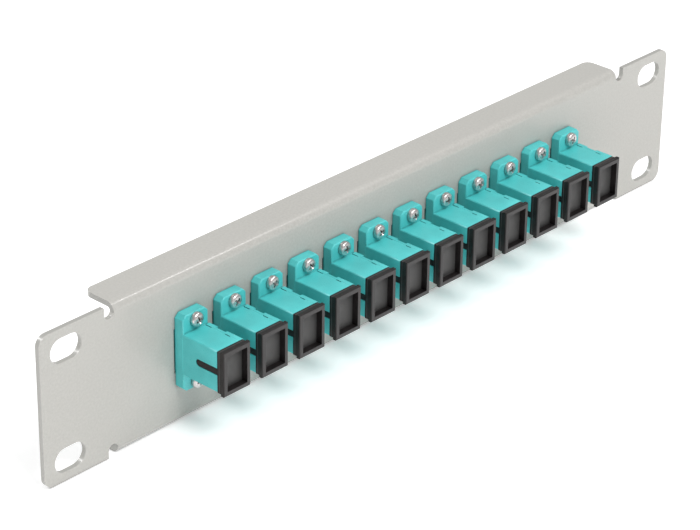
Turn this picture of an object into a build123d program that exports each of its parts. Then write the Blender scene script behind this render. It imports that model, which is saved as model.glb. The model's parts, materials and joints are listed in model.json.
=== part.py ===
# Fibre patch panel for a 10 inch rack. A folded steel panel carries one row of SC simplex
# adapters. Each adapter is held by two screws and has a dust cap in its front and rear port.
# Frame: +X along the panel as seen from the front, +Y to the rear, +Z up.
# The origin is the centre of the rack slots, on the front face of the panel.
import os

from build123d import *

# Folded steel panel
panel_width = 254.0
panel_height = 44.0
sheet_thickness = 1.5
bend_inner_radius = 1.0
channel_depth = 11.3
channel_width = 204.0
channel_corner_radius = 2.5
relief_width = 3.3
relief_depth = 3.65
ear_corner_radius = 3.0
rack_slot_spacing_x = 236.525
rack_slot_spacing_z = 31.75
rack_slot_length = 10.5
rack_slot_height = 7.1

# Row of adapters and the gaps round them in the panel
adapter_count = 12
adapter_pitch = 13.95
cutout_side_gap = 0.4
cutout_cover_gap = 0.15
cutout_end_gap = 0.5

# Adapter housing: a screw flange between two port bodies
flange_width = 9.2
flange_height = 22.4
flange_thickness = 3.15
flange_corner = 1.2
flange_bevel = 0.3
body_width = 9.1
body_height = 12.2
body_reach = 12.4
body_bevel = 0.25
port_width = 7.45
port_height = 9.05
key_slot_width = 2.0
key_slot_length = 7.8

# Side cover that closes the housing
cover_thickness = 1.05
cover_tab_projection = 0.55
grip_start = 3.05
grip_length = 3.6
grip_depth = 0.3
weld_gap_width = 0.3
weld_gap_depth = 0.5
inner_weld_gap_start = 0.2
inner_weld_gap_length = 2.2
outer_weld_gap_start = 7.4
outer_weld_gap_length = 1.8

# Latch holder in a pocket in the middle of the housing, each reach measured from its middle
holder_plate_thickness = 2.8
holder_rim = 0.8
holder_clearance = 0.05
tube_diameter = 4.2
tube_reach = 7.0
latch_spacing = 6.4
latch_width = 4.1
latch_thickness = 0.65
latch_reach = 9.0
hook_length = 1.4
hook_depth = 0.85

# Split sleeve that lines up the two ferrules
sleeve_bore = 2.5
sleeve_wall = 0.35
sleeve_clearance = 0.05
sleeve_slit = 0.5
sleeve_length = 11.4

# Dust cap
cap_width = 9.65
cap_height = 13.0
cap_plate_thickness = 1.25
cap_neck_length = 1.5
cap_bevel = 0.25
cap_recess_width = 7.2
cap_recess_height = 10.4
cap_recess_depth = 2.1
cap_seat_gap = 0.1
plug_clearance = 0.15
plug_length = 7.9
plug_wall = 0.7
key_rib_recess = 0.1

# Pan head screw
screw_spacing = 18.3
screw_diameter = 2.0
screw_length = 6.0
screw_head_diameter = 4.0
screw_head_height = 1.6
screw_head_taper = 25.0
screw_hole_clearance = 0.1
thread_clearance = 0.03

# Small round forms that repeat are drawn with this many flat sides
hidden_round_sides = 8
screw_head_sides = 12

half_length = flange_thickness / 2 + body_reach
cover_joint_x = body_width / 2 - cover_thickness
cover_outer_x = body_width / 2 + cover_tab_projection
flange_middle = Plane.XZ.offset(flange_thickness / 2)
front_mouth = flange_thickness + body_reach
rear_mouth = body_reach
plug_width = port_width - 2 * plug_clearance
plug_height = port_height - 2 * plug_clearance
pocket_left_x = -port_width / 2 - holder_rim / 2
pocket_height = port_height + 2 * holder_rim
sleeve_diameter = sleeve_bore + 2 * sleeve_wall
cap_front = front_mouth + cap_seat_gap + cap_neck_length + cap_plate_thickness

os.makedirs("parts", exist_ok=True)


def finish(piece, name):
    """Label one finished sub-part and write its STEP file."""
    piece.label = name
    export_step(piece, f"parts/{name}.step")


def finish_row(piece, name):
    """Write one copy of a sub-part for each adapter, from left to right."""
    first_x = -adapter_pitch * (adapter_count - 1) / 2
    for index in range(adapter_count):
        copy = piece.moved(Location((first_x + index * adapter_pitch, 0, 0)))
        finish(copy, f"{name}_{index + 1:02d}")


# Panel: flat ears, and a channel whose edges fold back over the adapters
with BuildPart() as panel:
    with BuildSketch(Plane.XZ):
        RectangleRounded(panel_width, panel_height, ear_corner_radius)
        with GridLocations(0, panel_height - relief_depth, 1, 2):
            Rectangle(channel_width, relief_depth, mode=Mode.SUBTRACT)
        with GridLocations(channel_width + relief_width, panel_height, 2, 2):
            SlotOverall(2 * relief_depth, relief_width, rotation=90, mode=Mode.SUBTRACT)
    extrude(amount=-sheet_thickness)
    with BuildSketch(Plane.YZ) as fold:
        with BuildLine():
            top = panel_height / 2
            web_end = top - relief_depth
            Polyline(
                (0, web_end),
                (0, top),
                (channel_depth, top),
                (channel_depth, top - sheet_thickness),
                (sheet_thickness, top - sheet_thickness),
                (sheet_thickness, web_end),
                close=True,
            )
        make_face()
        outer_corner = fold.vertices().group_by(Axis.X)[0].sort_by(Axis.Y)[-1]
        fillet(outer_corner, bend_inner_radius + sheet_thickness)
        inner_corner = fold.vertices().sort_by_distance((sheet_thickness, top - sheet_thickness))[0]
        fillet(inner_corner, bend_inner_radius)
    extrude(amount=channel_width / 2, both=True)
    back_corners = panel.edges().filter_by(Axis.Z).group_by(Axis.Y)[-1]
    fillet(back_corners, channel_corner_radius)
    mirror(about=Plane.XY)
    with BuildSketch(Plane.XZ):
        cutout_left = -body_width / 2 - cutout_side_gap
        cutout_right = cover_outer_x + cutout_cover_gap
        with Locations(((cutout_left + cutout_right) / 2, 0)):
            with GridLocations(adapter_pitch, 0, adapter_count, 1):
                Rectangle(cutout_right - cutout_left, body_height + 2 * cutout_end_gap)
        with GridLocations(adapter_pitch, screw_spacing, adapter_count, 2):
            RegularPolygon(screw_diameter / 2 + thread_clearance, hidden_round_sides, major_radius=False)
        with GridLocations(rack_slot_spacing_x, rack_slot_spacing_z, 2, 2):
            SlotOverall(rack_slot_length, rack_slot_height)
    extrude(amount=-sheet_thickness, mode=Mode.SUBTRACT)
finish(panel.part, "panel")

# Adapter housing: a one-piece moulding, open on its right side until the cover is welded on
with BuildPart() as housing:
    with BuildSketch(flange_middle) as flange:
        Rectangle(flange_width, flange_height)
        chamfer(flange.vertices(), flange_corner)
    extrude(amount=flange_thickness / 2, both=True)
    chamfer(housing.faces().sort_by(Axis.Y)[0].edges(), flange_bevel)
    with BuildSketch(flange_middle) as body:
        Rectangle(body_width, body_height)
        chamfer(body.vertices(), body_bevel)
    extrude(amount=half_length, both=True)
    with BuildSketch(flange_middle):
        with Locations((cover_joint_x, 0)):
            Rectangle(flange_width, body_height, align=(Align.MIN, Align.CENTER))
        Rectangle(port_width, port_height)
    extrude(amount=half_length, both=True, mode=Mode.SUBTRACT)
    with BuildSketch(flange_middle):
        with Locations((pocket_left_x, 0)):
            Rectangle(body_width, pocket_height, align=(Align.MIN, Align.CENTER))
    extrude(amount=holder_plate_thickness / 2 + holder_clearance, both=True, mode=Mode.SUBTRACT)
    with BuildSketch(flange_middle):
        with GridLocations(0, screw_spacing, 1, 2):
            RegularPolygon(screw_diameter / 2 + screw_hole_clearance, hidden_round_sides, major_radius=False)
    extrude(amount=flange_thickness / 2, both=True, mode=Mode.SUBTRACT)
    with BuildSketch(Plane.YZ):
        with Locations((-front_mouth, 0), (rear_mouth, 0)):
            SlotOverall(2 * key_slot_length, key_slot_width)
    extrude(amount=-body_width, mode=Mode.SUBTRACT)
    with BuildSketch(Plane.XY.offset(body_height / 2)):
        inner_gap_y = flange_thickness / 2 + inner_weld_gap_start + inner_weld_gap_length / 2
        outer_gap_y = flange_thickness / 2 + outer_weld_gap_start + outer_weld_gap_length / 2
        with Locations((cover_joint_x - weld_gap_width / 2, -flange_thickness / 2)):
            with GridLocations(0, 2 * inner_gap_y, 1, 2):
                Rectangle(weld_gap_width, inner_weld_gap_length)
            with GridLocations(0, 2 * outer_gap_y, 1, 2):
                Rectangle(weld_gap_width, outer_weld_gap_length)
    extrude(amount=-weld_gap_depth, mode=Mode.SUBTRACT)
finish_row(housing.part, "adapter_housing")

# Side cover: the plate welded to the open side, with two raised tabs beside each port and a
# grip recess between them
with BuildPart() as cover:
    with BuildSketch(flange_middle) as cover_section:
        with Locations((cover_joint_x, 0)):
            Rectangle(cover_outer_x - cover_joint_x, body_height, align=(Align.MIN, Align.CENTER))
        outer_corners = cover_section.vertices().group_by(Axis.X)[-1]
        chamfer(outer_corners, body_bevel)
        Rectangle(port_width, port_height, mode=Mode.SUBTRACT)
    extrude(amount=half_length, both=True)
    with BuildSketch(Plane.XY):
        grip_y = flange_thickness / 2 + grip_start + grip_length / 2
        with Locations((body_width / 2 - grip_depth, -flange_thickness / 2)):
            with GridLocations(0, 2 * grip_y, 1, 2):
                Rectangle(cover_thickness, grip_length, align=(Align.MIN, Align.CENTER))
        with Locations((body_width / 2, -flange_thickness / 2)):
            Rectangle(cover_thickness, flange_thickness, align=(Align.MIN, Align.CENTER))
    extrude(amount=body_height / 2, both=True, mode=Mode.SUBTRACT)
finish_row(cover.part, "side_cover")

# Latch holder: a plate that seats in the pocket, a tube for the sleeve and two hooked arms
# towards each port
with BuildPart() as holder:
    with BuildSketch(flange_middle):
        with Locations((pocket_left_x + holder_clearance, 0)):
            Rectangle(
                cover_joint_x - pocket_left_x - 2 * holder_clearance,
                pocket_height - 2 * holder_clearance,
                align=(Align.MIN, Align.CENTER),
            )
    extrude(amount=holder_plate_thickness / 2, both=True)
    with BuildSketch(flange_middle):
        RegularPolygon(tube_diameter / 2, hidden_round_sides)
    extrude(amount=tube_reach, both=True)
    with BuildSketch(Plane.YZ):
        with Locations((-flange_thickness / 2, 0)):
            with GridLocations(0, latch_spacing, 1, 2):
                Rectangle(2 * latch_reach, latch_thickness)
            hook_spacing = latch_spacing - latch_thickness - hook_depth
            with GridLocations(2 * latch_reach - hook_length, hook_spacing, 2, 2):
                Rectangle(hook_length, hook_depth)
    extrude(amount=latch_width / 2, both=True)
    with BuildSketch(flange_middle):
        RegularPolygon(sleeve_diameter / 2 + sleeve_clearance, hidden_round_sides, major_radius=False)
    extrude(amount=tube_reach, both=True, mode=Mode.SUBTRACT)

with BuildPart() as holders:
    with GridLocations(adapter_pitch, 0, adapter_count, 1):
        add(holder.part)
finish(holders.part, "latch_holders")

# Split sleeves: slit ceramic tubes that line up the two ferrules
with BuildPart() as sleeves:
    with BuildSketch(flange_middle):
        with GridLocations(adapter_pitch, 0, adapter_count, 1):
            RegularPolygon(sleeve_diameter / 2, hidden_round_sides)
            RegularPolygon(sleeve_bore / 2, hidden_round_sides, False, mode=Mode.SUBTRACT)
            Rectangle(sleeve_slit, sleeve_diameter, align=(Align.CENTER, Align.MIN), mode=Mode.SUBTRACT)
    extrude(amount=sleeve_length / 2, both=True)
finish(sleeves.part, "split_sleeves")

# Dust cap: a framed plate on a neck as wide as the body, with a hollow plug, and a rib that
# fills the key slot
with BuildPart() as front_cap:
    with BuildSketch(Plane.XZ.offset(front_mouth + cap_seat_gap)):
        Rectangle(body_width, body_height)
    extrude(amount=cap_neck_length)
    with BuildSketch(Plane.XZ.offset(cap_front)):
        Rectangle(cap_width, cap_height)
    extrude(amount=-cap_plate_thickness)
    chamfer(front_cap.faces().sort_by(Axis.Y)[0].edges(), cap_bevel)
    with BuildSketch(Plane.XZ.offset(cap_front)):
        Rectangle(cap_recess_width, cap_recess_height)
    extrude(amount=-cap_recess_depth, mode=Mode.SUBTRACT)
    with BuildSketch(Plane.XZ.offset(front_mouth + cap_seat_gap)):
        Rectangle(plug_width, plug_height)
    extrude(amount=-plug_length)
    with BuildSketch(Plane.YZ.offset(-body_width / 2 + key_rib_recess)):
        rib_length = key_slot_length + cap_seat_gap - key_slot_width / 2
        with Locations((-front_mouth - cap_seat_gap, 0)):
            Rectangle(rib_length, key_slot_width - 2 * plug_clearance, align=(Align.MIN, Align.CENTER))
        with Locations((-front_mouth - cap_seat_gap + rib_length, 0)):
            RegularPolygon(key_slot_width / 2 - plug_clearance, hidden_round_sides)
    extrude(amount=body_width / 2 - key_rib_recess - plug_width / 2 + plug_wall / 2)
    with BuildSketch(Plane.XZ.offset(front_mouth + cap_seat_gap)):
        Rectangle(plug_width - 2 * plug_wall, plug_height - 2 * plug_wall)
    extrude(amount=-plug_length, mode=Mode.SUBTRACT)
finish_row(front_cap.part, "front_dust_cap")

with BuildPart() as rear_cap:
    mirror(front_cap.part, about=flange_middle)
finish_row(rear_cap.part, "rear_dust_cap")

# Screws: through the flange into the tapped holes of the panel
with BuildPart() as screw:
    head_underside = Plane.XZ.offset(flange_thickness)
    with BuildSketch(head_underside):
        RegularPolygon(screw_head_diameter / 2, screw_head_sides)
    extrude(amount=screw_head_height, taper=screw_head_taper)
    with BuildSketch(head_underside):
        RegularPolygon(screw_diameter / 2, hidden_round_sides)
    extrude(amount=-screw_length)

with BuildPart() as screws:
    with GridLocations(adapter_pitch, 0, adapter_count, 1):
        with Locations((0, 0, screw_spacing / 2), (0, 0, -screw_spacing / 2)):
            add(screw.part)
finish(screws.part, "screws")
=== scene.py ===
import json
import math

import bmesh
import bpy
from mathutils import Matrix, Vector

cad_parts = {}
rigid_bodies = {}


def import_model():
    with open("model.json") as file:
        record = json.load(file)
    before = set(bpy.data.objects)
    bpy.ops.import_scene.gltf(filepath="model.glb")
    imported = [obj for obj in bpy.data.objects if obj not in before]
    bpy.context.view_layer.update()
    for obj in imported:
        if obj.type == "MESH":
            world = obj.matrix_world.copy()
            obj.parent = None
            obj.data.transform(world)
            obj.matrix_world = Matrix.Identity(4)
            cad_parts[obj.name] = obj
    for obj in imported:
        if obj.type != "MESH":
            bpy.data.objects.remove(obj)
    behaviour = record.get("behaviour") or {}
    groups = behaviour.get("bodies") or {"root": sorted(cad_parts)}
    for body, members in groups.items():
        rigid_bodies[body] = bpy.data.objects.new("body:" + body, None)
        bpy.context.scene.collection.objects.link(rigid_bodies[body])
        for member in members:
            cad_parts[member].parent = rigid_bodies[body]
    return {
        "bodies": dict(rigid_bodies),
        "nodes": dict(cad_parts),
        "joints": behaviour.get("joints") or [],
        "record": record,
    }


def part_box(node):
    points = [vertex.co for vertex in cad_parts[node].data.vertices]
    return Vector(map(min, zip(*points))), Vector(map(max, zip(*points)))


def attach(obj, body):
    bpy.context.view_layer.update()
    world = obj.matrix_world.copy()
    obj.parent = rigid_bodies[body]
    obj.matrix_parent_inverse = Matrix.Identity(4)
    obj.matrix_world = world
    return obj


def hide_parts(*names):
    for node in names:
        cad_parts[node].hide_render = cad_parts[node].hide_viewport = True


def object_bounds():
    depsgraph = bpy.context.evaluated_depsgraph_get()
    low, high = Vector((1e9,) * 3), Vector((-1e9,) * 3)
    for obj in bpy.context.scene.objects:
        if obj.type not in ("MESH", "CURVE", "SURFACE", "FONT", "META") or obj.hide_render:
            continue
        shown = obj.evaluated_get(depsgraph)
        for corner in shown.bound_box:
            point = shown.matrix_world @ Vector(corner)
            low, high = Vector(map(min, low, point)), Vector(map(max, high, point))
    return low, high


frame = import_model()
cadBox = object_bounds()
nodes = frame["nodes"]


def mm(value):
    return value / 1000


def rowOf(stem):
    return sorted(name for name in nodes if name.startswith(stem))


# Camera, where the photograph was taken from
camera = {
    "turn": 47.34,      # degrees that the camera stands to the left of the panel's front
    "tilt": 27.73,      # degrees that it looks down
    "roll": 0.79,
    "distance": mm(749.4),
    "aim": (mm(-14.71), 0, mm(0.29)),
    "focalPixels": 2719.7,
    "imageWidth": 700,
    "sensor": 36,
    "nearest": 0.01,
    "farthest": 20,
}


def makeCamera(s):
    turn = math.radians(s["turn"])
    tilt = math.radians(s["tilt"])
    roll = math.radians(s["roll"])
    ahead = Vector((
        math.sin(turn) * math.cos(tilt),
        math.cos(turn) * math.cos(tilt),
        -math.sin(tilt),
    ))
    flatRight = Vector((math.cos(turn), -math.sin(turn), 0))
    flatUp = flatRight.cross(ahead)
    right = math.cos(roll) * flatRight + math.sin(roll) * flatUp
    up = -math.sin(roll) * flatRight + math.cos(roll) * flatUp
    data = bpy.data.cameras.new("camera")
    data.sensor_width = s["sensor"]
    data.lens = s["focalPixels"] * s["sensor"] / s["imageWidth"]
    data.clip_start = s["nearest"]
    data.clip_end = s["farthest"]
    eye = bpy.data.objects.new("camera", data)
    place = Matrix((right, up, -ahead)).transposed().to_4x4()
    place.translation = Vector(s["aim"]) - s["distance"] * ahead
    eye.matrix_world = place
    bpy.context.scene.collection.objects.link(eye)
    bpy.context.scene.camera = eye


makeCamera(camera)
bpy.context.scene.view_settings.view_transform = "Standard"
print("camera set")


# Studio: a pale floor, a soft surround and three soft lights
studio = {
    "floorSize": 6.0,
    "floorDrop": mm(0.3),     # the floor lies just under the panel's lower edge
    "floorGlow": 0.30,
    "floorLight": (0.92, 0.92, 0.92),
    "floorDark": (0.90, 0.90, 0.90),
    "floorCloud": 3.0,
    "floorGloss": 0.7,
    "surround": (0.99, 0.99, 1.0),
    "surroundStrength": 0.44,
    "lights": [
        # name, place, size, power, colour
        ("key", (-0.12, -0.82, 1.13), 0.60, 12.5, (1.0, 0.985, 0.985)),
        ("rim", (-0.60, 0.80, 0.85), 0.35, 7.5, (1.0, 1.0, 1.0)),
        ("right", (0.555, -0.28, 0.81), 0.14, 1.7, (1.0, 0.99, 0.98)),
    ],
}


def makeStudio(s):
    low = cadBox[0][2] - s["floorDrop"]
    half = s["floorSize"] / 2
    mesh = bpy.data.meshes.new("floor")
    corners = [(-half, -half, low), (half, -half, low), (half, half, low), (-half, half, low)]
    mesh.from_pydata(corners, [], [(0, 1, 2, 3)])
    floor = bpy.data.objects.new("floor", mesh)
    bpy.context.scene.collection.objects.link(floor)
    floor.data.materials.append(makeFloorPaint(s))
    world = bpy.data.worlds.new("surround")
    world.use_nodes = True
    backdrop = world.node_tree.nodes["Background"]
    backdrop.inputs["Color"].default_value = (*s["surround"], 1)
    backdrop.inputs["Strength"].default_value = s["surroundStrength"]
    bpy.context.scene.world = world
    for name, place, size, power, colour in s["lights"]:
        light = bpy.data.lights.new(name, "AREA")
        light.shape = "DISK"
        light.size = size
        light.energy = power
        light.color = colour
        lamp = bpy.data.objects.new(name, light)
        lamp.location = place
        aim = Vector((0, 0, 0)) - Vector(place)
        lamp.rotation_euler = aim.to_track_quat("-Z", "Y").to_euler()
        bpy.context.scene.collection.objects.link(lamp)


# Finishes. Every pattern reads object coordinates, in metres.
def newFinish(name):
    finish = bpy.data.materials.new(name)
    finish.use_nodes = True
    tree = finish.node_tree
    shader = tree.nodes["Principled BSDF"]
    place = tree.nodes.new("ShaderNodeTexCoord").outputs["Object"]
    return finish, tree, shader, place


def addNoise(tree, place, scale, detail=2.0, roughness=0.5):
    noise = tree.nodes.new("ShaderNodeTexNoise")
    noise.inputs["Scale"].default_value = scale
    noise.inputs["Detail"].default_value = detail
    noise.inputs["Roughness"].default_value = roughness
    tree.links.new(place, noise.inputs["Vector"])
    return noise.outputs["Fac"]


def addRange(tree, value, low, high, fromLow=0.3, fromHigh=0.7):
    fit = tree.nodes.new("ShaderNodeMapRange")
    fit.inputs["From Min"].default_value = fromLow
    fit.inputs["From Max"].default_value = fromHigh
    fit.inputs["To Min"].default_value = low
    fit.inputs["To Max"].default_value = high
    tree.links.new(value, fit.inputs["Value"])
    return fit.outputs["Result"]


def addBlend(tree, factor, first, second):
    mix = tree.nodes.new("ShaderNodeMix")
    mix.data_type = "RGBA"
    tree.links.new(factor, mix.inputs["Factor"])
    for socket, colour in (("A", first), ("B", second)):
        target = next(i for i in mix.inputs if i.name == socket and i.type == "RGBA")
        if isinstance(colour, tuple):
            target.default_value = (*colour, 1)
        else:
            tree.links.new(colour, target)
    return next(o for o in mix.outputs if o.type == "RGBA")


def addBump(tree, shader, height, distance, strength=1.0, under=None):
    bump = tree.nodes.new("ShaderNodeBump")
    bump.inputs["Strength"].default_value = strength
    bump.inputs["Distance"].default_value = distance
    tree.links.new(height, bump.inputs["Height"])
    if under is not None:
        tree.links.new(under, bump.inputs["Normal"])
    tree.links.new(bump.outputs["Normal"], shader.inputs["Normal"])
    return bump.outputs["Normal"]


def addMath(tree, operation, first, second=None, third=None):
    step = tree.nodes.new("ShaderNodeMath")
    step.operation = operation
    for socket, value in zip(step.inputs, (first, second, third)):
        if value is None:
            continue
        if isinstance(value, (int, float)):
            socket.default_value = value
        else:
            tree.links.new(value, socket)
    return step.outputs[0]


# 1 where a value lies between low and high, 0 elsewhere
def addBand(tree, value, low, high):
    middle = (low + high) / 2
    return addMath(tree, "COMPARE", value, middle, (high - low) / 2)


def splitPlace(tree, place):
    parts = tree.nodes.new("ShaderNodeSeparateXYZ")
    tree.links.new(place, parts.inputs[0])
    return parts.outputs


# Painted shade in seams, corners and recesses: the colour is darkened where little of the
# surround is open. The seam is a reach and how dark it gets.
def addPaintedSeamShade(tree, colour, seam):
    reach, darkest = seam
    openLow, openHigh = 0.15, 0.85     # openness where the shade is full, and where it ends
    shade = tree.nodes.new("ShaderNodeAmbientOcclusion")
    shade.samples = 8
    shade.inputs["Distance"].default_value = reach
    depth = addRange(tree, shade.outputs["AO"], darkest, 1.0, openLow, openHigh)
    darker = tree.nodes.new("ShaderNodeVectorMath")
    darker.operation = "SCALE"
    tree.links.new(colour, darker.inputs[0])
    tree.links.new(depth, darker.inputs["Scale"])
    return darker.outputs[0]


def makeFloorPaint(s):
    finish, tree, shader, place = newFinish("floor_paint")
    tone = addRange(tree, addNoise(tree, place, s["floorCloud"]), 0.0, 1.0)
    colour = addBlend(tree, tone, s["floorDark"], s["floorLight"])
    tree.links.new(colour, shader.inputs["Base Color"])
    shader.inputs["Roughness"].default_value = s["floorGloss"]
    shader.inputs["Emission Color"].default_value = (1, 1, 1, 1)
    shader.inputs["Emission Strength"].default_value = s["floorGlow"]
    return finish


powder = {
    "light": (0.452, 0.447, 0.418),
    "dark": (0.382, 0.377, 0.352),
    "edge": (0.340, 0.338, 0.316),     # darker tone on the sheet's sheared edges
    "edgeStart": mm(0.25),
    "edgeEnd": mm(1.4),
    "earStart": mm(102.4),
    "flapEndStart": mm(101.96),
    "flapEndEnd": mm(102.1),
    "webEnd": mm(18.4),
    "grain": 1500.0,          # orange peel, per metre
    "peel": 300.0,
    "grainHeight": mm(0.03),
    "grainBump": 0.5,
    "peelBump": 0.6,
    "cloud": 26.0,
    "cloudMost": 0.35,        # how far a cloud evens out the specks
    "gloss": (0.40, 0.54),
    # painted shade in seams and corners: reach, and darkest share of the colour
    "seam": (mm(1.5), 0.45),
    "coat": 0.30,
    "coatGloss": 0.16,
}


def makePowderCoat(s):
    finish, tree, shader, place = newFinish("powder_coat")
    cloud = addNoise(tree, place, s["cloud"], 3.0)
    grain = addNoise(tree, place, s["grain"], 3.0, 0.6)
    peel = addNoise(tree, place, s["peel"], 2.0)
    speck = addBlend(tree, addRange(tree, grain, 0.0, 1.0), s["dark"], s["light"])
    tone = addBlend(tree, addRange(tree, cloud, 0.0, s["cloudMost"]), speck, s["light"])
    x, y, z = splitPlace(tree, place)
    along = addMath(tree, "ABSOLUTE", x)
    onEar = addMath(tree, "GREATER_THAN", along, s["earStart"])
    inSheet = addMath(tree, "MULTIPLY", addBand(tree, y, s["edgeStart"], s["edgeEnd"]), onEar)
    flapEnd = addBand(tree, along, s["flapEndStart"], s["flapEndEnd"])
    folded = addMath(tree, "GREATER_THAN", addMath(tree, "ABSOLUTE", z), s["webEnd"])
    flapEdge = addMath(tree, "MULTIPLY", flapEnd, folded)
    cut = addMath(tree, "MAXIMUM", inSheet, flapEdge)
    tone = addBlend(tree, cut, tone, s["edge"])
    tree.links.new(addPaintedSeamShade(tree, tone, s["seam"]), shader.inputs["Base Color"])
    tree.links.new(addRange(tree, grain, *s["gloss"]), shader.inputs["Roughness"])
    wide = addBump(tree, shader, peel, s["grainHeight"], s["peelBump"])
    addBump(tree, shader, grain, s["grainHeight"], s["grainBump"], wide)
    shader.inputs["Coat Weight"].default_value = s["coat"]
    shader.inputs["Coat Roughness"].default_value = s["coatGloss"]
    return finish


aqua = {
    "light": (0.092, 0.590, 0.590),
    "dark": (0.072, 0.500, 0.503),
    "grain": 5200.0,
    "grainHeight": mm(0.006),
    "grainBump": 0.5,
    "flow": 160.0,
    "gloss": (0.26, 0.38),
    # painted shade in slits, seams and corners: reach, and darkest share of the colour
    "seam": (mm(0.8), 0.22),
}


def makeAdapterPlastic(s):
    finish, tree, shader, place = newFinish("adapter_plastic")
    flow = addNoise(tree, place, s["flow"], 2.0)
    grain = addNoise(tree, place, s["grain"], 2.0, 0.6)
    tone = addBlend(tree, addRange(tree, flow, 0.0, 1.0), s["dark"], s["light"])
    tree.links.new(addPaintedSeamShade(tree, tone, s["seam"]), shader.inputs["Base Color"])
    tree.links.new(addRange(tree, grain, *s["gloss"]), shader.inputs["Roughness"])
    addBump(tree, shader, grain, s["grainHeight"], s["grainBump"])
    return finish


blackPlastic = {
    "light": (0.016, 0.013, 0.013),
    "dark": (0.008, 0.007, 0.007),
    "frame": (0.040, 0.038, 0.038),    # painted sheen: the front face is painted lighter than the sides
    "floor": (0.062, 0.062, 0.061),    # painted sheen on the recess floor, lighter than the recess walls
    "recessDepth": mm(2.1),
    "frameBand": mm(0.1),
    "floorBand": mm(0.12),
    "grain": 4200.0,
    "grainHeight": mm(0.010),
    "grainBump": 0.6,
    "scuff": 420.0,
    "gloss": (0.34, 0.50),
    # painted shade in the key slot, the neck and the recess corners: reach, and darkest share
    # of the colour
    "seam": (mm(1.6), 0.35),
    "specular": 0.35,
}


def makeCapPlastic(s):
    finish, tree, shader, place = newFinish("cap_plastic")
    grain = addNoise(tree, place, s["grain"], 3.0, 0.6)
    scuff = addNoise(tree, place, s["scuff"], 4.0)
    tone = addBlend(tree, addRange(tree, scuff, 0.0, 1.0), s["dark"], s["light"])
    y = splitPlace(tree, place)[1]
    frontFace, rearFace = cadBox[0][1], cadBox[1][1]
    middle = (frontFace + rearFace) / 2
    half = (rearFace - frontFace) / 2
    reach = addMath(tree, "ABSOLUTE", addMath(tree, "SUBTRACT", y, middle))
    # Painted sheen: the front face and the recess floor are painted lighter than the sides and
    # the recess walls.
    frame = addMath(tree, "GREATER_THAN", reach, half - s["frameBand"])
    bottom = half - s["recessDepth"]
    recessFloorSheen = addBand(tree, reach, bottom - s["floorBand"], bottom + s["floorBand"])
    tone = addBlend(tree, frame, tone, s["frame"])
    tone = addBlend(tree, recessFloorSheen, tone, s["floor"])
    tree.links.new(addPaintedSeamShade(tree, tone, s["seam"]), shader.inputs["Base Color"])
    tree.links.new(addRange(tree, scuff, *s["gloss"]), shader.inputs["Roughness"])
    addBump(tree, shader, grain, s["grainHeight"], s["grainBump"])
    shader.inputs["Specular IOR Level"].default_value = s["specular"]
    return finish


naturalPlastic = {
    "light": (0.80, 0.79, 0.74),
    "dark": (0.74, 0.72, 0.66),
    "grain": 3000.0,
    "grainHeight": mm(0.006),
    "grainBump": 0.4,
    "gloss": (0.38, 0.5),
    "glow": 0.1,                       # light that soaks into the thin walls
    "glowReach": (mm(1.2), mm(1.0), mm(0.8)),
}


def makeHolderPlastic(s):
    finish, tree, shader, place = newFinish("holder_plastic")
    grain = addNoise(tree, place, s["grain"], 2.0)
    tone = addBlend(tree, addRange(tree, grain, 0.0, 1.0), s["dark"], s["light"])
    tree.links.new(tone, shader.inputs["Base Color"])
    tree.links.new(addRange(tree, grain, *s["gloss"]), shader.inputs["Roughness"])
    addBump(tree, shader, grain, s["grainHeight"], s["grainBump"])
    shader.inputs["Subsurface Weight"].default_value = s["glow"]
    shader.inputs["Subsurface Radius"].default_value = s["glowReach"]
    return finish


zirconia = {
    "light": (0.90, 0.90, 0.87),
    "dark": (0.85, 0.85, 0.82),
    "cloud": 900.0,
    "cloudHeight": mm(0.002),
    "cloudBump": 0.3,
    "gloss": (0.10, 0.2),
}


def makeSleeveCeramic(s):
    finish, tree, shader, place = newFinish("sleeve_ceramic")
    cloud = addNoise(tree, place, s["cloud"], 2.0)
    tone = addBlend(tree, addRange(tree, cloud, 0.0, 1.0), s["dark"], s["light"])
    tree.links.new(tone, shader.inputs["Base Color"])
    tree.links.new(addRange(tree, cloud, *s["gloss"]), shader.inputs["Roughness"])
    addBump(tree, shader, cloud, s["cloudHeight"], s["cloudBump"])
    return finish


nickel = {
    "light": (0.72, 0.69, 0.68),
    "dark": (0.56, 0.53, 0.52),
    "cloud": 1500.0,
    "scratch": 9000.0,
    "scratchHeight": mm(0.002),
    "scratchBump": 0.12,
    "gloss": (0.30, 0.42),
    # painted shade in the cross recess and round the head's seat: reach, and darkest share of
    # the colour
    "seam": (mm(0.45), 0.06),
}


def makeScrewNickel(s):
    finish, tree, shader, place = newFinish("screw_nickel")
    cloud = addNoise(tree, place, s["cloud"], 3.0)
    scratch = addNoise(tree, place, s["scratch"], 2.0)
    tone = addBlend(tree, addRange(tree, cloud, 0.0, 1.0), s["dark"], s["light"])
    tree.links.new(addPaintedSeamShade(tree, tone, s["seam"]), shader.inputs["Base Color"])
    tree.links.new(addRange(tree, cloud, *s["gloss"]), shader.inputs["Roughness"])
    addBump(tree, shader, scratch, s["scratchHeight"], s["scratchBump"])
    shader.inputs["Metallic"].default_value = 1.0
    return finish


makeStudio(studio)
finishes = {
    "powder_coat": makePowderCoat(powder),
    "adapter_plastic": makeAdapterPlastic(aqua),
    "cap_plastic": makeCapPlastic(blackPlastic),
    "holder_plastic": makeHolderPlastic(naturalPlastic),
    "sleeve_ceramic": makeSleeveCeramic(zirconia),
    "screw_nickel": makeScrewNickel(nickel),
}
print("studio and finishes made")


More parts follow.
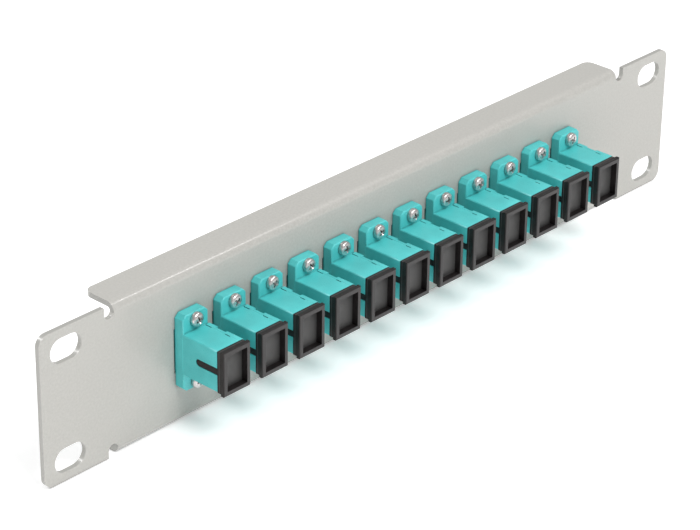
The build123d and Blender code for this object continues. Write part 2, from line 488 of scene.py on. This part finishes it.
# Pressed and moulded edges: each carried part is welded, its flat facets are joined
# and its edges rounded. A rounding is a radius and a number of steps.
rounding = {
    "panel": (mm(0.35), 3),
    "adapter_housing": (mm(0.18), 3),
    "side_cover": (mm(0.10), 2),
    "front_dust_cap": (mm(0.12), 2),
    "rear_dust_cap": (mm(0.12), 2),
}
partFinish = {
    "panel": "powder_coat",
    "adapter_housing": "adapter_plastic",
    "side_cover": "adapter_plastic",
    "front_dust_cap": "cap_plastic",
    "rear_dust_cap": "cap_plastic",
}


edgeAngle = 38      # degrees, above which an edge is rounded
flatAngle = 1.0     # degrees, below which two facets are one face
weldReach = mm(0.001)


def roundEdges(part, radius, steps):
    weld = part.modifiers.new("weld", "WELD")
    weld.merge_threshold = weldReach
    flat = part.modifiers.new("flat", "DECIMATE")
    flat.decimate_type = "DISSOLVE"
    flat.angle_limit = math.radians(flatAngle)
    edge = part.modifiers.new("edge", "BEVEL")
    edge.width = radius
    edge.segments = steps
    edge.limit_method = "ANGLE"
    edge.angle_limit = math.radians(edgeAngle)
    edge.use_clamp_overlap = True
    edge.harden_normals = True
    smooth = part.modifiers.new("smooth", "WEIGHTED_NORMAL")
    smooth.keep_sharp = False


def dressParts():
    for stem, (radius, steps) in rounding.items():
        for name in rowOf(stem):
            part = nodes[name]
            part.data.materials.clear()
            part.data.materials.append(finishes[partFinish[stem]])
            for face in part.data.polygons:
                face.use_smooth = True
            roundEdges(part, radius, steps)


dressParts()
print("carried parts dressed")


# Row tree: copies of one piece along the panel, in one or more rows
def makeRowTree():
    tree = bpy.data.node_groups.new("row_of_pieces", "GeometryNodeTree")
    face = tree.interface
    face.new_socket("Geometry", in_out="OUTPUT", socket_type="NodeSocketGeometry")
    for label, kind in (
        ("Piece", "NodeSocketObject"),
        ("Columns", "NodeSocketInt"),
        ("Pitch", "NodeSocketFloat"),
        ("Rows", "NodeSocketInt"),
        ("Row spacing", "NodeSocketFloat"),
        ("Most turn", "NodeSocketFloat"),
        ("Seed", "NodeSocketInt"),
        ("Finish", "NodeSocketMaterial"),
    ):
        face.new_socket(label, in_out="INPUT", socket_type=kind)
    make = tree.nodes.new
    link = tree.links.new
    given = make("NodeGroupInput").outputs
    result = make("NodeGroupOutput")

    def centredLine(count, step, axis):
        gaps = addMath(tree, "SUBTRACT", count, 1)
        length = addMath(tree, "MULTIPLY", gaps, step)
        back = addMath(tree, "MULTIPLY", length, -0.5)
        start = make("ShaderNodeCombineXYZ")
        link(back, start.inputs[axis])
        stride = make("ShaderNodeCombineXYZ")
        link(step, stride.inputs[axis])
        line = make("GeometryNodeMeshLine")
        link(count, line.inputs["Count"])
        link(start.outputs[0], line.inputs["Start Location"])
        link(stride.outputs[0], line.inputs["Offset"])
        return line.outputs["Mesh"]

    columns = centredLine(given["Columns"], given["Pitch"], "X")
    rows = centredLine(given["Rows"], given["Row spacing"], "Z")
    spread = make("GeometryNodeInstanceOnPoints")
    link(columns, spread.inputs["Points"])
    link(rows, spread.inputs["Instance"])
    places = make("GeometryNodeRealizeInstances")
    link(spread.outputs["Instances"], places.inputs[0])
    piece = make("GeometryNodeObjectInfo")
    piece.inputs["As Instance"].default_value = True
    link(given["Piece"], piece.inputs["Object"])
    turn = make("FunctionNodeRandomValue")
    turn.data_type = "FLOAT"
    floatMax = next(i for i in turn.inputs if i.name == "Max" and i.type == "VALUE")
    link(given["Most turn"], floatMax)
    link(given["Seed"], turn.inputs["Seed"])
    floatOut = next(o for o in turn.outputs if o.type == "VALUE")
    about = make("ShaderNodeCombineXYZ")
    link(floatOut, about.inputs["Y"])
    copies = make("GeometryNodeInstanceOnPoints")
    link(places.outputs[0], copies.inputs["Points"])
    link(piece.outputs["Geometry"], copies.inputs["Instance"])
    link(about.outputs[0], copies.inputs["Rotation"])
    real = make("GeometryNodeRealizeInstances")
    link(copies.outputs["Instances"], real.inputs[0])
    paint = make("GeometryNodeSetMaterial")
    link(real.outputs[0], paint.inputs["Geometry"])
    link(given["Finish"], paint.inputs["Material"])
    link(paint.outputs["Geometry"], result.inputs[0])
    return tree


rowTree = makeRowTree()


# One column for each adapter. Each copy is turned by up to mostTurn, drawn from the seed.
def layRow(name, piece, finish, rows=1, rowSpacing=0.0, mostTurn=0.0, seed=1):
    holder = bpy.data.objects.new(name + "_row", bpy.data.meshes.new(name + "_row"))
    bpy.context.scene.collection.objects.link(holder)
    modifier = holder.modifiers.new("row", "NODES")
    modifier.node_group = rowTree
    values = {
        "Piece": piece,
        "Columns": adapterCount,
        "Pitch": adapterPitch,
        "Rows": rows,
        "Row spacing": rowSpacing,
        "Most turn": mostTurn,
        "Seed": seed,
        "Finish": finish,
    }
    for item in rowTree.interface.items_tree:
        if item.in_out == "INPUT":
            modifier[item.identifier] = values[item.name]
    mesh = finishedMesh(holder)
    holder.modifiers.remove(modifier)
    bpy.data.objects.remove(holder)
    bpy.data.objects.remove(piece)
    made = bpy.data.objects.new(name, mesh)
    bpy.context.scene.collection.objects.link(made)
    return made


# A piece's mesh as its modifiers leave it
def finishedMesh(piece):
    graph = bpy.context.evaluated_depsgraph_get()
    graph.update()
    return bpy.data.meshes.new_from_object(piece.evaluated_get(graph))


def settle(piece, modifier):
    mesh = finishedMesh(piece)
    piece.modifiers.remove(modifier)
    piece.data = mesh


def newTemplate(name, work):
    mesh = bpy.data.meshes.new(name)
    work.to_mesh(mesh)
    work.free()
    for face in mesh.polygons:
        face.use_smooth = True
    made = bpy.data.objects.new(name, mesh)
    bpy.context.scene.collection.objects.link(made)
    return made


def centreOf(name):
    low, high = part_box(name)
    return (low + high) / 2


housings = rowOf("adapter_housing")
adapterCount = len(housings)
firstX = centreOf(housings[0]).x
adapterPitch = (centreOf(housings[-1]).x - firstX) / (adapterCount - 1)

# Screw: domed pan head with a cross recess, and a helical thread on the shank
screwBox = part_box("screws")
screw = {
    "headRadius": mm(2.0),
    "headHeight": mm(1.6),
    "rimHeight": mm(0.45),
    "crown": 0.55,             # below 1 the crown is flatter than a half ellipse
    "shankRadius": mm(0.98),
    "threadPitch": mm(0.4),
    "threadDepth": mm(0.22),
    "around": 32,
    "domeSteps": 9,
    "stepsPerTurn": 6,
    "underside": 0.99,         # share of the head's radius
    "crossSpan": mm(2.5),
    "crossWidth": mm(0.50),
    "crossDepth": mm(0.9),
    "crossAbove": mm(0.2),     # how far the cutter stands over the head
    "crossTop": (1.12, 1.15),  # share of the span and of the width, where the cutter starts
    "crossBottom": (0.30, 0.55),
    "sharp": 32,               # degrees
    "seed": 7,
}


def ringOf(work, y, radiusAt, around):
    ring = []
    for k in range(around):
        angle = 2 * math.pi * k / around
        radius = radiusAt(angle)
        ring.append(work.verts.new((radius * math.cos(angle), y, radius * math.sin(angle))))
    return ring


def joinRings(work, first, second):
    count = len(first)
    for k in range(count):
        work.faces.new((first[k], first[(k + 1) % count], second[(k + 1) % count], second[k]))


def makeScrewSolid(s, seatY, tipY):
    work = bmesh.new()
    around = s["around"]
    rings = []
    domeHeight = s["headHeight"] - s["rimHeight"]
    crownAngle = 6
    for k in range(s["domeSteps"]):
        angle = math.radians(crownAngle + (90 - crownAngle) * k / (s["domeSteps"] - 1))
        radius = s["headRadius"] * math.sin(angle)
        y = seatY - s["rimHeight"] - domeHeight * math.cos(angle) ** s["crown"]
        rings.append(ringOf(work, y, lambda a, r=radius: r, around))
    rings.append(ringOf(work, seatY, lambda a: s["headRadius"] * s["underside"], around))
    rings.append(ringOf(work, seatY, lambda a: s["shankRadius"], around))
    stepY = s["threadPitch"] / s["stepsPerTurn"]
    taper = s["threadPitch"]
    y = seatY + stepY
    while y < tipY - stepY / 2:
        def threadRadius(angle, y=y):
            phase = ((y - seatY) / s["threadPitch"] + angle / (2 * math.pi)) % 1
            cut = s["threadDepth"] * abs(2 * phase - 1)
            room = min(1.0, (tipY - y) / taper)
            return s["shankRadius"] - cut - (1 - room) * s["threadDepth"]
        rings.append(ringOf(work, y, threadRadius, around))
        y += stepY
    tipRadius = s["shankRadius"] - 2 * s["threadDepth"]
    rings.append(ringOf(work, tipY, lambda a: tipRadius, around))
    for first, second in zip(rings, rings[1:]):
        joinRings(work, first, second)
    work.faces.new(rings[0])
    work.faces.new(rings[-1])
    bmesh.ops.recalc_face_normals(work, faces=work.faces)
    return newTemplate("screw_template", work)


def makeCrossCutter(s, seatY):
    work = bmesh.new()
    topY = seatY - s["headHeight"] - s["crossAbove"]
    bottomY = seatY - s["headHeight"] + s["crossDepth"]
    for turn in (0, math.pi / 2):
        across, down = math.cos(turn), math.sin(turn)
        corners = []
        for y, (spanShare, widthShare) in ((topY, s["crossTop"]), (bottomY, s["crossBottom"])):
            span = s["crossSpan"] * spanShare
            width = s["crossWidth"] * widthShare
            for sx, sz in ((-1, -1), (1, -1), (1, 1), (-1, 1)):
                x, z = sx * span / 2, sz * width / 2
                spot = (x * across - z * down, y, x * down + z * across)
                corners.append(work.verts.new(spot))
        work.faces.new(corners[:4])
        work.faces.new(corners[4:])
        joinRings(work, corners[:4], corners[4:])
    bmesh.ops.recalc_face_normals(work, faces=work.faces)
    return newTemplate("cross_cutter", work)


def cutWith(piece, cutter):
    cut = piece.modifiers.new("cut", "BOOLEAN")
    cut.operation = "DIFFERENCE"
    cut.solver = "EXACT"
    cut.use_self = True
    cut.object = cutter
    settle(piece, cut)
    bpy.data.objects.remove(cutter)


def sharpenEdges(mesh, limit):
    work = bmesh.new()
    work.from_mesh(mesh)
    limit = math.radians(limit)
    for edge in work.edges:
        edge.smooth = len(edge.link_faces) == 2 and edge.calc_face_angle(0) < limit
    work.to_mesh(mesh)
    work.free()


def makeScrews(s):
    seatY = screwBox[0].y + s["headHeight"]
    piece = makeScrewSolid(s, seatY, screwBox[1].y)
    cutWith(piece, makeCrossCutter(s, seatY))
    sharpenEdges(piece.data, s["sharp"])
    rowSpacing = (screwBox[1].z - screwBox[0].z) - 2 * s["headRadius"]
    made = layRow("screw_set", piece, finishes["screw_nickel"], 2, rowSpacing,
                  2 * math.pi, s["seed"])
    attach(made, "root")
    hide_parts("screws")


makeScrews(screw)
print("screws made")


# Latch holder and split sleeve: round tubes, seen down a port when its cap is out
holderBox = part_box("latch_holders")
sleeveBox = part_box("split_sleeves")
inner = {
    "plateThickness": mm(2.8),
    "tubeRadius": mm(2.0),
    "tubeReach": mm(7.0),
    "tubeBore": mm(1.65),
    "armSpacing": mm(6.4),
    "armWidth": mm(4.1),
    "armThickness": mm(0.65),
    "hookLength": mm(1.4),
    "hookDepth": mm(0.85),
    "sleeveOuter": mm(1.6),
    "sleeveBore": mm(1.25),
    "slit": mm(0.5),
    "around": 40,
    "boreRoom": mm(0.15),      # the plate stands off the tube's bore by this
    "holderEdge": mm(0.06),
    "sleeveEdge": mm(0.05),
}


def addBlock(work, low, high):
    made = bmesh.ops.create_cube(work, size=1.0)
    for vert in made["verts"]:
        vert.co = Vector(
            (low[k] + (vert.co[k] + 0.5) * (high[k] - low[k]) for k in range(3))
        )


def addTube(work, outer, bore, lowY, highY, around, gap=0.0):
    half = math.asin(gap / 2 / outer) if gap else 0.0
    rings = []
    for radius, y in ((outer, lowY), (outer, highY), (bore, highY), (bore, lowY)):
        ring = []
        for k in range(around + (1 if gap else 0)):
            angle = math.pi / 2 + half + (2 * math.pi - 2 * half) * k / around
            ring.append(work.verts.new((radius * math.cos(angle), y, radius * math.sin(angle))))
        rings.append(ring)
    for first, second in zip(rings, rings[1:] + rings[:1]):
        last = len(first) - 1 if gap else len(first)
        for k in range(last):
            n = (k + 1) % len(first)
            work.faces.new((first[k], first[n], second[n], second[k]))
    if gap:
        work.faces.new([ring[0] for ring in rings])
        work.faces.new([ring[-1] for ring in rings])


def bevelled(piece, radius):
    edge = piece.modifiers.new("edge", "BEVEL")
    edge.width = radius
    edge.segments = 2
    edge.limit_method = "ANGLE"
    edge.angle_limit = math.radians(edgeAngle)
    edge.harden_normals = True
    settle(piece, edge)
    return piece


def makeHolders(s):
    middleY = (holderBox[0].y + holderBox[1].y) / 2
    reach = (holderBox[1].y - holderBox[0].y) / 2
    plateHalf = s["plateThickness"] / 2
    side = centreOf("latch_holders").x - (firstX + adapterPitch * (adapterCount - 1) / 2)
    width = (holderBox[1].x - holderBox[0].x) - adapterPitch * (adapterCount - 1)
    tall = holderBox[1].z
    left, right = side - width / 2, side + width / 2
    bore = s["tubeBore"] + s["boreRoom"]
    work = bmesh.new()
    for lowX, highX, lowZ, highZ in (
        (left, right, bore, tall),
        (left, right, -tall, -bore),
        (left, -bore, -bore, bore),
        (bore, right, -bore, bore),
    ):
        addBlock(work, (lowX, middleY - plateHalf, lowZ), (highX, middleY + plateHalf, highZ))
    tubeStart, tubeEnd = middleY - s["tubeReach"], middleY + s["tubeReach"]
    addTube(work, s["tubeRadius"], s["tubeBore"], tubeStart, tubeEnd, s["around"])
    half = s["armWidth"] / 2
    for sign in (-1, 1):
        middleZ = sign * s["armSpacing"] / 2
        lowZ = middleZ - s["armThickness"] / 2
        highZ = middleZ + s["armThickness"] / 2
        addBlock(work, (-half, middleY - reach, lowZ), (half, middleY + reach, highZ))
        hookLow = lowZ - s["hookDepth"] if sign > 0 else highZ
        hookHigh = lowZ if sign > 0 else highZ + s["hookDepth"]
        for end in (-1, 1):
            near = middleY + end * (reach - s["hookLength"])
            far = middleY + end * reach
            addBlock(work, (-half, min(near, far), hookLow), (half, max(near, far), hookHigh))
    bmesh.ops.recalc_face_normals(work, faces=work.faces)
    piece = bevelled(newTemplate("holder_template", work), s["holderEdge"])
    made = layRow("latch_holder_set", piece, finishes["holder_plastic"])
    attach(made, "root")
    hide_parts("latch_holders")


def makeSleeves(s):
    work = bmesh.new()
    start, end = sleeveBox[0].y, sleeveBox[1].y
    addTube(work, s["sleeveOuter"], s["sleeveBore"], start, end, s["around"], s["slit"])
    bmesh.ops.recalc_face_normals(work, faces=work.faces)
    piece = bevelled(newTemplate("sleeve_template", work), s["sleeveEdge"])
    made = layRow("split_sleeve_set", piece, finishes["sleeve_ceramic"])
    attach(made, "root")
    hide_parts("split_sleeves")


makeHolders(inner)
makeSleeves(inner)
print("inner pieces made")
